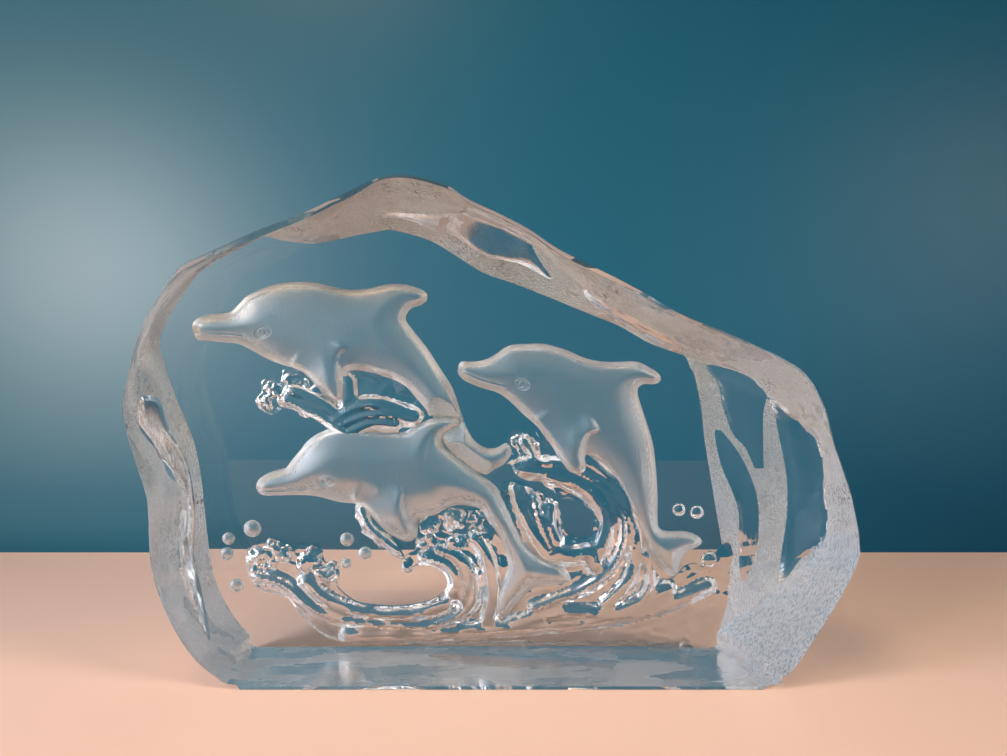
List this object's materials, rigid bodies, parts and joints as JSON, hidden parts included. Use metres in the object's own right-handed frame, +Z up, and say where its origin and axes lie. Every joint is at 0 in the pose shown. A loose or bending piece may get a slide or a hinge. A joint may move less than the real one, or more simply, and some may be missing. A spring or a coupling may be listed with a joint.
{
  "type": "glass dolphin figurine",
  "caption": "Thick rough-hewn block of clear crystal with a flat polished front; satin dolphins leap over curling waves, pressed as hollows into its back",
  "frame": {"origin": "middle of the underside of the bounding box, on the surface the block stands on", "axes": "+X to the right of the front face, -Y out of the polished front face, +Z up"},
  "size_m": [0.189, 0.048, 0.13],
  "materials": {
    "crystal": "polished clear crystal, satin in the relief, rough on the hewn walls"
  },
  "bodies": {
    "root": {"crystal_block": "crystal"}
  },
  "joints": []
}
